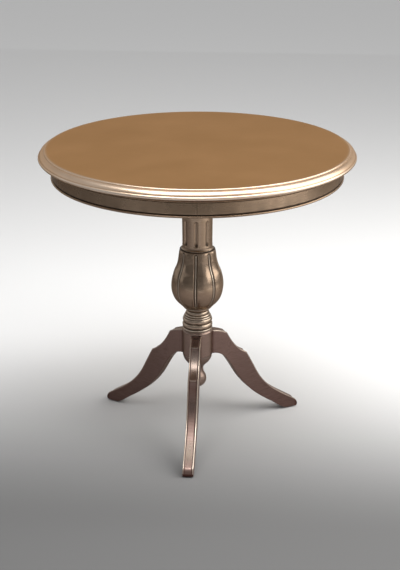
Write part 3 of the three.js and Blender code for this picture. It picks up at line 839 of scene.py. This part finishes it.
drop_way = lower - upper
depth = np.maximum(np.linalg.norm(drop_way, axis=1, keepdims=True), 1e-6)
unit = (drop_way / depth)[:, None, :]
top_inset = np.minimum(from_top[None, :], DEEPEST_SHARE * depth)
foot_inset = np.minimum(from_foot[None, :], DEEPEST_SHARE * depth)
over = upper[:, None, :] + unit * top_inset[..., None]
under = lower[:, None, :] - unit * foot_inset[..., None]
profile = np.concatenate([over, under[:, ::-1]], axis=1)
sideways = np.concatenate([width, width[::-1]])[None, :] + 0 * profile[..., 0]
scribe = np.sqrt(np.maximum(hub_radius**2 - sideways**2, 0)) - hub_radius
near_hub = 1 - part_of(profile[..., 0] - hub_radius, SCRIBE_REACH)
along_leg = profile[..., 0] + scribe * near_hub

# Along the leg: light lines across both corners, partly rubbed wear and partly painted highlight,
# with painted shade below them and further down, glaze against the hub, the sides darker towards
# the toe, and painted highlights on the arch between the corners and on top of the foot.
upper_length = length_along(upper)[:, None]
stretch_ends = np.cumsum([steps for _, steps, _ in UPPER_STRETCHES])
corner_at, cusp_at, _, heel_at, _ = upper_length[stretch_ends, 0]


def band(middle, reach):
    """1 at this distance along the leg, and falling off over reach on both sides."""
    return np.exp(-(((upper_length - middle) / reach) ** 2))


# Both corners are rubbed light across the top: partly wear on the bent arris, partly painted highlight.
mitre = np.maximum(band(corner_at, MITRE_REACH), band(cusp_at, MITRE_REACH))
# Painted shade: dark bands just below both corners, past the cusp and lower down the shin.
below_mitre = [band(bend_at + GLAZE_AFTER, GLAZE_REACH) for bend_at in (corner_at, cusp_at)]
shadow = 0.5 * band(cusp_at + 22.0, 20.0) + 0.5 * np.maximum(*below_mitre)
shadow += 0.35 * band(heel_at - 104.0, 26.0)
# Painted highlight on the top of the foot.
painted_foot_highlight = 0.55 * band(heel_at - 42.0, 26.0)
# Painted highlight across the arch between the two corners.
painted_arch_highlight = 0.42 * band((corner_at + cusp_at) / 2, 30.0)
at_hub = 0.8 * (1 - part_of(along_leg - hub_radius, 3.0))
at_toe = 0.35 * part_of(along_leg - toe + 9.0, 6.0)
no_mask = np.zeros((len(upper), len(width)))
# The sides are painted darker towards the toe.
side_darker_to_toe = 0.04 + 0.62 * part_of(upper_length - corner_at, heel_at - corner_at) + no_mask
top_glaze_and_shade = top_quirk + top_inside * shadow + top_side * side_darker_to_toe
top_rub_and_highlight = 0.9 * top_bead + top_inside * np.maximum(mitre, painted_foot_highlight + painted_arch_highlight)
leg_glaze_and_shade = np.concatenate([top_glaze_and_shade, side_darker_to_toe], axis=1) + at_hub + at_toe
leg_rub_and_highlight = np.concatenate([top_rub_and_highlight, no_mask], axis=1)

for place, degrees in (("front", -90.0), ("back_right", 30.0), ("back_left", 150.0)):
    facing = math.radians(degrees)
    x = along_leg * math.cos(facing) - sideways * math.sin(facing)
    y = along_leg * math.sin(facing) + sideways * math.cos(facing)
    leg = make_piece(
        f"leg_{place}_sawn",
        np.stack([x, y, profile[..., 1]], axis=-1),
        masks={"glaze_and_shade": leg_glaze_and_shade, "rub": leg_rub_and_highlight},
        sharp=32.0,
    )
    settle(leg, "base", "painted_wood", leg_finish, f"leg_{place}")


# ---- Glides ----
# Nail-on glides moulded in dark nylon, one under each foot, with a tread that is eased all round.
# They keep the soles off the floor.

small_turns = np.linspace(0, 2 * np.pi, 48, endpoint=False)

nylon = Finish("dark_nylon", IOR=1.5)
scuff = nylon.noise(nylon.place(), 900.0, 4.0, 0.6)
nylon_finish = nylon.set(
    Base_Color=nylon.blend((0.016, 0.014, 0.013), (0.045, 0.04, 0.037), scuff),
    Roughness=scuff * 0.3 + 0.35,
    Normal=nylon.bump(scuff, 0.00005, 0.5),
)
glide_radius, _, glide_top = corners("glide_front")[1]
glide_line = moulding(
    (0.0, 0.0),
    (6.4, 0.0, 0),
    (glide_radius, 1.1, 0.3),
    (glide_radius, glide_top - 0.2, 0),
    (glide_radius - 0.2, glide_top, 0),
    (0.0, glide_top, 0),
    steps=6,
)
for place in ("front", "back_right", "back_left"):
    glide_low, glide_high = corners(f"glide_{place}")
    glide_middle = (glide_low + glide_high) / 2 * (1, 1, 0)
    glide = turn(f"glide_{place}_moulded", glide_line, small_turns, centre=glide_middle, sharp=30.0)
    settle(glide, "base", "glide", nylon_finish, f"glide_{place}")


# ---- Tie rod, washers and nuts ----
# A zinc-plated steel rod, threaded at both ends, runs through the whole column and draws it
# together. A washer and a hexagon nut close each end.


def metal(name, dull, clean, roughness):
    """Plain metal with soft cloudy tarnish and fine drawn lines."""
    mix = Finish(name, IOR=1.6)
    cloud = mix.noise(mix.place(), 55.0, 4.0, 0.6)
    brushed = mix.noise(mix.place((1.0, 1.0, 14.0)), 700.0, 3.0, 0.6)
    return mix.set(
        Base_Color=mix.blend(dull, clean, cloud.over(0.32, 0.68)),
        Metallic=(1.08 - cloud * 0.2).held(),
        Roughness=(cloud * 0.22 + brushed * 0.12 + roughness).held(),
        Normal=mix.bump(brushed, 0.00002, 0.5),
    )


THREAD_PITCH = 1.5
THREAD_DEPTH = 0.55
THREADED_END = 28.0
THREAD_FADE = 3.0
ROD_EASE = 0.8

zinc_finish = metal("zinc_plate", (0.40, 0.40, 0.41), (0.66, 0.67, 0.69), 0.22)
rod_low, rod_high = corners("tie_rod")
rod_radius, rod_foot, rod_top = rod_high[0], rod_low[2], rod_high[2]
plain_step, thread_step = 12.0, THREAD_PITCH / 6
rod_levels = np.concatenate(
    [
        [rod_foot, rod_foot + ROD_EASE],
        np.arange(rod_foot + 1.0, rod_foot + THREADED_END, thread_step),
        np.arange(rod_foot + THREADED_END, rod_top - THREADED_END, plain_step),
        np.arange(rod_top - THREADED_END, rod_top - 1.0, thread_step),
        [rod_top - ROD_EASE, rod_top],
    ]
)[:, None]
rod_turns = np.linspace(0, 2 * np.pi, 24, endpoint=False)
from_end = np.minimum(rod_levels - rod_foot, rod_top - rod_levels)
thread_turn = (rod_levels / THREAD_PITCH - rod_turns / (2 * np.pi)) % 1
is_threaded = part_of(THREADED_END - from_end, THREAD_FADE)
chamfer = np.maximum(ROD_EASE - from_end, 0)
rod_wall = rod_radius - THREAD_DEPTH * 2 * np.abs(thread_turn - 0.5) * is_threaded - chamfer
tie_rod = make_piece("tie_rod_threaded", carried_round(rod_wall, rod_levels, rod_turns), sharp=25.0)
settle(tie_rod, "base", "steel", zinc_finish, "tie_rod")

NUT_EASE = 0.7


def hexagon_nut(name, node):
    """Nut round Z: at the angle a its flank lies at F / cos(a mod 60 - 30), and no further out than
    a cone that leaves the rim of each end at a slope of 1.7."""
    low, high = corners(node)
    flat = high[0] * math.cos(math.pi / 6)
    turns = np.linspace(0, 2 * np.pi, 72, endpoint=False)
    flank = flat / np.cos(turns % (math.pi / 3) - math.pi / 6)
    rise = np.array([0.0, 0.15, 0.4, 0.8, 1.2])[:, None]
    coned = np.minimum(flank, flat - 0.3 + 1.7 * rise)
    levels = [low[2] + NUT_EASE, low[2], *(low[2] + rise[:, 0]), *(high[2] - rise[::-1, 0])]
    levels = np.array(levels + [high[2], high[2] - NUT_EASE])[:, None]
    bore, mouth = ROD_BORE + 0 * turns, ROD_BORE + NUT_EASE + 0 * turns
    wall = np.vstack([bore, mouth, coned, coned[::-1], mouth, bore])
    return make_piece(name, carried_round(wall, levels, turns), along=True, sharp=22.0)


for place in ("lower", "upper"):
    washer_node, nut_node = f"tie_rod_washer_{place}", f"tie_rod_nut_{place}"
    washer_low, washer_high = corners(washer_node)
    washer_line = moulding(
        (ROD_BORE, washer_low[2] + 0.2),
        (ROD_BORE + 0.2, washer_low[2], 0),
        (washer_high[0] - 0.5, washer_low[2], 0),
        (washer_high[0] - 0.3, washer_high[2], 0.3),
        (ROD_BORE + 0.2, washer_high[2], 0),
        (ROD_BORE, washer_high[2] - 0.2, 0),
        steps=5,
    )
    washer = turn(f"{washer_node}_pressed", washer_line, small_turns, closed=True, sharp=30.0)
    settle(washer, "base", "steel", zinc_finish, washer_node)
    settle(hexagon_nut(f"{nut_node}_forged", nut_node), "base", "steel", zinc_finish, nut_node)


# ---- Tilt block ----
# A thick beech block glued and drawn down on the column's tenon. Its back end is rounded about the
# pivot so that it clears the board as the top tips up. It is planed, and left without a finish.


def eased(name, node, ease, sharp=35.0):
    """Copy of a CAD piece with its facets merged into whole faces and its arrises taken off."""
    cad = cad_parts[node].data
    places = np.empty(3 * len(cad.vertices), np.float32)
    cad.vertices.foreach_get("co", places)
    triangles = np.empty(len(cad.loops), np.int32)
    cad.loops.foreach_get("vertex_index", triangles)
    mesh = bpy.data.meshes.new(name)
    mesh.from_pydata(places.reshape(-1, 3).tolist(), [], triangles.reshape(-1, 3).tolist())
    shell = bmesh.new()
    shell.from_mesh(mesh)
    bmesh.ops.remove_doubles(shell, verts=shell.verts, dist=1e-5)
    bmesh.ops.dissolve_limit(shell, angle_limit=math.radians(1.0), verts=shell.verts, edges=shell.edges)
    bmesh.ops.recalc_face_normals(shell, faces=shell.faces)
    shell.to_mesh(mesh)
    shell.free()
    mesh.shade_smooth()
    mesh.set_sharp_from_angle(angle=math.radians(sharp))
    piece = bpy.data.objects.new(name, mesh)
    bpy.context.scene.collection.objects.link(piece)
    bevel = piece.modifiers.new("ease", "BEVEL")
    bevel.width = ease * MM
    bevel.segments = 2
    bevel.limit_method = "ANGLE"
    bevel.angle_limit = math.radians(sharp)
    bevel.harden_normals = True
    return piece


def beech(name, fibres):
    """Planed beech. Fibres stretches its streaks and flecks along the grain, where it is small."""
    mix = Finish(name, IOR=1.5)
    ring = mix.noise(mix.place(fibres), 60.0, 3.0, 0.5)
    streak = mix.noise(mix.place(fibres), 420.0, 4.0, 0.65)
    fleck = mix.noise(mix.place(tuple(0.5 * (1 + share) * share**0.5 for share in fibres)), 900.0, 1.0, 0.5)
    tone = mix.blend((0.47, 0.30, 0.165), (0.62, 0.44, 0.27), ring)
    tone = mix.blend(tone, (0.40, 0.245, 0.13), streak.over(0.5, 0.75) * 0.55)
    tone = mix.blend(tone, (0.27, 0.15, 0.075), fleck.over(0.63, 0.7) * 0.6)
    return mix.set(
        Base_Color=tone,
        Roughness=streak * 0.2 + 0.46,
        Normal=mix.bump(streak, 0.00012, 0.5),
    )


ARRIS = 0.8
ALONG_Y = (1.0, 0.06, 1.0)
ALONG_Z = (1.0, 1.0, 0.06)
beech_along = beech("beech_along", ALONG_Y)
beech_upright = beech("beech_upright", ALONG_Z)
settle(eased("tilt_block_planed", "tilt_block", ARRIS), "base", "bare_wood", beech_along, "tilt_block")


# ---- Keep plate ----
# A pressed brass plate let on to the block's front end with two screws. The catch bolt goes through
# its slot.

SCREW_SHANK = 1.8
SCREW_PITCH = 1.4
RIDGE_DEPTH = 0.5
UNTHREADED_SHARE = 0.35
SLOT_SHARE = 0.16
SLOT_DEPTH_SHARE = 0.55

brass_finish = metal("aged_brass", (0.30, 0.19, 0.075), (0.68, 0.48, 0.20), 0.2)
settle(eased("keep_plate_pressed", "keep_plate", 0.3), "base", "brass", brass_finish, "keep_plate")


def fastener(name, node, way, head_height, shank, is_screw=True):
    """Slotted screw or pin along way, from its head inwards, that fills its CAD node. Each row's
    columns are spread so that two of them keep to the slot's walls: they lie at the angle whose sine
    is the slot's half width over the row's radius. A screw's thread is a ridge whose crest climbs
    by one pitch in each turn."""
    way = np.array(way, float)
    low, high = corners(node)
    near, far = sorted((low @ way, high @ way))
    middle = (low + high) / 2
    seat = middle + (near + head_height - middle @ way) * way
    reach = far - near - head_height
    head_radius = np.abs(np.cross(high - low, way)).max() / 2

    slot = SLOT_SHARE * head_radius
    crown = np.array([0.0, 0.5 * slot, slot, slot, *(head_radius * np.array([0.4, 0.62, 0.8, 0.92, 1.0]))])
    crown_level = -head_height * (1 - 0.6 * (crown / head_radius) ** 3)
    tip = 3.0 if is_screw else 0.8
    step = SCREW_PITCH / 6 if is_screw else 4.0
    shaft_level = np.append(np.arange(0.3, reach - 0.1, step), [reach - 0.02, reach])
    radius = np.concatenate([crown, [head_radius, head_radius - 0.15], shank + 0 * shaft_level])[:, None]
    level = np.concatenate([crown_level, [-0.1 * head_height, 0.0], shaft_level])[:, None]
    radius[-1] = 0.0

    wall_angle = np.arcsin(np.minimum(1.0, slot / np.maximum(radius, slot)))
    wall_angle[len(crown) :] = wall_angle[len(crown) - 1]
    in_slot = wall_angle * np.linspace(-1, 1, 5)
    beside = wall_angle + (np.pi - 2 * wall_angle) * np.linspace(0, 1, 13)
    angle = np.hstack([in_slot, beside, in_slot + np.pi, beside + np.pi])
    is_slot = np.array(([True] * 5 + [False] * 13) * 2)
    is_centre = np.arange(len(radius))[:, None] < 3
    is_cut = (is_slot | is_centre) & (np.arange(len(radius))[:, None] < len(crown))
    level = np.where(is_cut, np.maximum(level, -SLOT_DEPTH_SHARE * head_height), level)

    taper = part_of(reach - level, tip) ** (0.8 if is_screw else 0.25)
    crest = (0.5 + 0.5 * np.cos(2 * np.pi * level / SCREW_PITCH - angle)) ** 2
    is_thread = is_screw * part_of(level - UNTHREADED_SHARE * reach, 2.0)
    cut_away = RIDGE_DEPTH * is_thread * (1 - crest)
    radius = np.where(level > 0, (radius - cut_away) * taper, radius)
    u = np.roll(way, 1)
    v = np.cross(way, u)
    spokes = np.cos(angle)[..., None] * u + np.sin(angle)[..., None] * v
    grid = seat + level[..., None] * way + radius[..., None] * spokes
    return make_piece(name, grid, sharp=30.0)


for side in ("left", "right"):
    keep_screw = fastener(f"keep_screw_{side}_slotted", f"keep_screw_{side}", (0, 1, 0), 1.6, SCREW_SHANK)
    settle(keep_screw, "base", "brass", brass_finish, f"keep_screw_{side}")


# ---- Bearers, their screws and the pivot pins ----
# Two beech bearers with tapered ends, screwed up into the board from counterbored holes. A steel pin
# driven through each one into the tilt block makes the hinge.

steel_finish = metal("oiled_steel", (0.24, 0.235, 0.23), (0.52, 0.52, 0.51), 0.26)
for side, inwards in (("left", (1, 0, 0)), ("right", (-1, 0, 0))):
    bearer_node, pin_node = f"bearer_{side}", f"pivot_pin_{side}"
    settle(eased(f"{bearer_node}_planed", bearer_node, ARRIS), "top", "bare_wood", beech_along, bearer_node)
    pin = fastener(f"{pin_node}_turned", pin_node, inwards, 4.0, 5.0, is_screw=False)
    settle(pin, "top", "steel", steel_finish, pin_node)
    for place in ("front", "middle", "back"):
        screw_node = f"bearer_screw_{side}_{place}"
        bearer_screw = fastener(f"{screw_node}_slotted", screw_node, (0, 0, 1), 3.0, SCREW_SHANK)
        settle(bearer_screw, "top", "steel", steel_finish, screw_node)


# ---- Glue blocks ----
# Beech blocks rubbed in behind the apron's four butt seams, with their grain upright. Glue alone
# holds them to the apron and to the board.

for place in ("right", "back", "left", "front"):
    block_node = f"glue_block_{place}"
    settle(eased(f"{block_node}_sawn", block_node, ARRIS), "top", "bare_wood", beech_upright, block_node)


# ---- Spring catch ----
# A cast brass case screwed under the board, with a bolt that a spring pushes out into the keep. The
# turned knob hangs from the bolt and draws it back.

for node, body, ease in (("catch_case", "top", 0.6), ("catch_bolt", "catch_bolt", 0.3)):
    settle(eased(f"{node}_cast", node, ease), body, "brass", brass_finish, node)
for side in ("left", "right"):
    catch_screw = fastener(f"catch_screw_{side}_slotted", f"catch_screw_{side}", (0, 0, 1), 2.0, SCREW_SHANK)
    settle(catch_screw, "top", "brass", brass_finish, f"catch_screw_{side}")

knob_low, knob_high = corners("catch_knob")
knob_end, knob_root = knob_low[2], knob_high[2]
knob_ball = smooth_through(
    [
        (0.0, knob_end),
        (3.2, knob_end + 0.4),
        (5.6, knob_end + 1.9),
        (6.8, knob_end + 4.6),
        (6.8, knob_end + 7.2),
        (5.2, knob_end + 9.8),
        (3.9, knob_end + 11.0),
    ],
    6,
)
knob_collar = moulding(
    (3.9, knob_end + 11.2),
    (4.2, knob_end + 12.8, 0.3),
    (2.0, knob_end + 13.0, 0),
    (2.0, knob_root, 0),
    (0.0, knob_root, 0),
    steps=5,
)
knob_middle = (knob_low + knob_high) / 2 * (1, 1, 0)
knob_line = np.vstack([knob_ball, knob_collar])
knob = turn("catch_knob_turned", knob_line, small_turns, centre=knob_middle, sharp=30.0)
settle(knob, "catch_bolt", "brass", brass_finish, "catch_knob")

SPRING_WIRE = 0.4
SPRING_TURNS = 6
BOLT_TRAVEL = 10.0

spring_low, spring_high = corners("catch_spring")
spring_back, spring_front = spring_low[1] + SPRING_WIRE, spring_high[1] - SPRING_WIRE
coil_radius = (spring_high[0] - spring_low[0]) / 2 - SPRING_WIRE
coil_centre_z = (spring_low[2] + spring_high[2]) / 2

# Helix tube: the wire's middle goes round Y at the coil's radius, and its skin lies at
# middle + wire (n cos b + m sin b), where n points away from Y and m lies square to the wire.
wind = np.linspace(0, 2 * np.pi * SPRING_TURNS, 24 * SPRING_TURNS + 1)[:, None]
round_wire = np.linspace(0, 2 * np.pi, 10, endpoint=False)
climb = (spring_front - spring_back) / wind[-1, 0]
lean = math.atan2(climb, coil_radius)
out_by = coil_radius + SPRING_WIRE * np.cos(round_wire)
up_by = SPRING_WIRE * np.sin(round_wire)
spring_grid = np.stack(
    [
        out_by * np.cos(wind) + up_by * math.sin(lean) * np.sin(wind),
        spring_back + climb * wind + up_by * math.cos(lean),
        coil_centre_z + out_by * np.sin(wind) - up_by * math.sin(lean) * np.cos(wind),
    ],
    axis=-1,
)
spring = make_piece("catch_spring_wound", spring_grid, sharp=60.0)
settle(spring, "top", "steel", steel_finish, "catch_spring")
tuple(MM * value for value in (0.0, spring_low[1], coil_centre_z))
1 - BOLT_TRAVEL / (spring_high[1] - spring_low[1])
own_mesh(spring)


# ---- Floor and light ----
# A pale floor with painted shade: dark under the table and in front of it. There is a wide soft box
# overhead, a warm one on the right and a third that lights the right side without a reflection. Two
# sheets show in reflections only: a painted card just over the floor and a grey flag behind the camera.

FLOOR_REACH = 200.0
CARD_HEIGHT = 0.004
FLAG_PLACE, FLAG_HEIGHT = -4.2, 3.2


def grey(tone):
    """Neutral colour of this tone."""
    return (tone, tone, tone)


def sheet(name, places, finish):
    """Flat four-cornered sheet that isn't part of the table."""
    mesh = bpy.data.meshes.new(name)
    mesh.from_pydata(places, [], [(0, 1, 2, 3)])
    mesh.materials.append(finish)
    made = bpy.data.objects.new(name, mesh)
    bpy.context.scene.collection.objects.link(made)
    return made


floor_mix = Finish("floor_paint", Roughness=0.8)
floor_place = floor_mix.node("ShaderNodeTexCoord", "Object")
floor_y = floor_mix.node("ShaderNodeSeparateXYZ", "Y", None, {"Vector": floor_place})
# Painted shade: the floor is dark from well in front of the table to just behind it.
floor_tone_and_shade = floor_mix.blend(grey(0.12), grey(0.76), floor_y.over(-0.5, 0.6))
floor_tone_and_shade = floor_mix.blend(grey(0.7), floor_tone_and_shade, floor_y.over(-2.6, -1.0))
floor_finish = floor_mix.set(Base_Color=floor_tone_and_shade)
floor_places = [(x * FLOOR_REACH, y * FLOOR_REACH, 0.0) for x, y in ((-1, -1), (1, -1), (1, 1), (-1, 1))]
sheet("floor", floor_places, floor_finish)

card_mix = Finish("card_paint", Roughness=0.9)
card_place = card_mix.node("ShaderNodeTexCoord", "Object")
card_x = card_mix.node("ShaderNodeSeparateXYZ", "X", None, {"Vector": card_place})
card_y = card_mix.node("ShaderNodeSeparateXYZ", "Y", None, {"Vector": card_place})

# The card's tones, one laid over another: the colour, the way it goes, where it begins, where it is
# full and how much it covers there. They give the apron, shaft, vase, hub and legs their reflections.
CARD_TONES = (
    (grey(0.74), card_y, -2.05, -1.65, 1.0),
    ((0.31, 0.285, 0.285), card_y, -1.35, -1.1, 1.0),
    ((0.43, 0.41, 0.385), card_x, 0.45, 1.3, 1.0),
    ((0.95, 0.93, 0.90), card_x, 1.3, 2.0, 1.0),
    (grey(0.2), card_x, -1.2, -1.9, 0.8),
    ((0.22, 0.2, 0.19), card_y, -0.1, 0.5, 0.9),
)
card_tone = (0.08, 0.075, 0.07)
for tone, way, begins, full, cover in CARD_TONES:
    card_tone = card_mix.blend(card_tone, tone, way.over(begins, full) * cover)
card_finish = card_mix.set(Base_Color=card_tone)
card_edges = ((-4, -3.4), (4, -3.4), (4, 5), (-4, 5))
card = sheet("card", [(x, y, CARD_HEIGHT) for x, y in card_edges], card_finish)

flag_finish = Finish("grey_cloth", Base_Color=(*grey(0.34), 1.0), Roughness=0.9).material
flag_edges = ((-14, 0), (2.2, 0), (2.2, FLAG_HEIGHT), (-14, FLAG_HEIGHT))
flag = sheet("flag", [(x, FLAG_PLACE, z) for x, z in flag_edges], flag_finish)
for hidden in (card, flag):
    hidden.visible_camera = False
    hidden.visible_diffuse = False
    hidden.visible_shadow = False


def soft_light(name, place, aim, size, radiance, colour=(1.0, 1.0, 1.0)):
    """Rectangular soft box. Its power is pi times its area times its radiance."""
    light = bpy.data.lights.new(name, "AREA")
    light.shape = "RECTANGLE"
    light.size, light.size_y = size
    light.energy = math.pi * size[0] * size[1] * radiance
    light.color = colour
    lamp = bpy.data.objects.new(name, light)
    way = Matrix.Translation(place).to_translation() - Matrix.Translation(aim).to_translation()
    lamp.matrix_world = Matrix.Translation(place) @ way.to_track_quat("Z", "Y").to_matrix().to_4x4()
    bpy.context.scene.collection.objects.link(lamp)
    return lamp


soft_light("overhead", (0.15, -0.75, 2.7), (0.0, -0.2, 0.7), (3.0, 1.9), 4.6)
soft_light("warm_right", (1.9, 0.0, 1.5), (0.0, 0.0, 0.35), (2.6, 2.0), 2.7, (1.0, 0.97, 0.92))
low_right = soft_light("low_right", (2.6, -1.1, 2.6), (1.9, -1.1, 0.0), (2.0, 2.0), 2.8)
low_right.visible_glossy = False

# The room's light by the sine of the height above the horizon: pale low down, darker halfway up and
# white overhead.
SKY = ((0.0, 0.8), (0.3, 0.52), (0.5, 0.42), (0.75, 0.32), (1.0, 1.0))

world = bpy.data.worlds.new("room")
world.use_nodes = True
bpy.context.scene.world = world
room = world.node_tree
backdrop = room.nodes["Background"]
direction = room.nodes.new("ShaderNodeTexCoord")
split = room.nodes.new("ShaderNodeSeparateXYZ")
ramp = room.nodes.new("ShaderNodeValToRGB")
room.links.new(direction.outputs["Generated"], split.inputs["Vector"])
room.links.new(split.outputs["Z"], ramp.inputs["Fac"])
room.links.new(ramp.outputs["Color"], backdrop.inputs["Color"])
stops = ramp.color_ramp.elements
for number, (height, tone) in enumerate(SKY):
    stop = stops[number] if number < 2 else stops.new(height)
    stop.position = height
    stop.color = (*grey(tone), 1.0)

bpy.context.scene.view_settings.view_transform = "Standard"
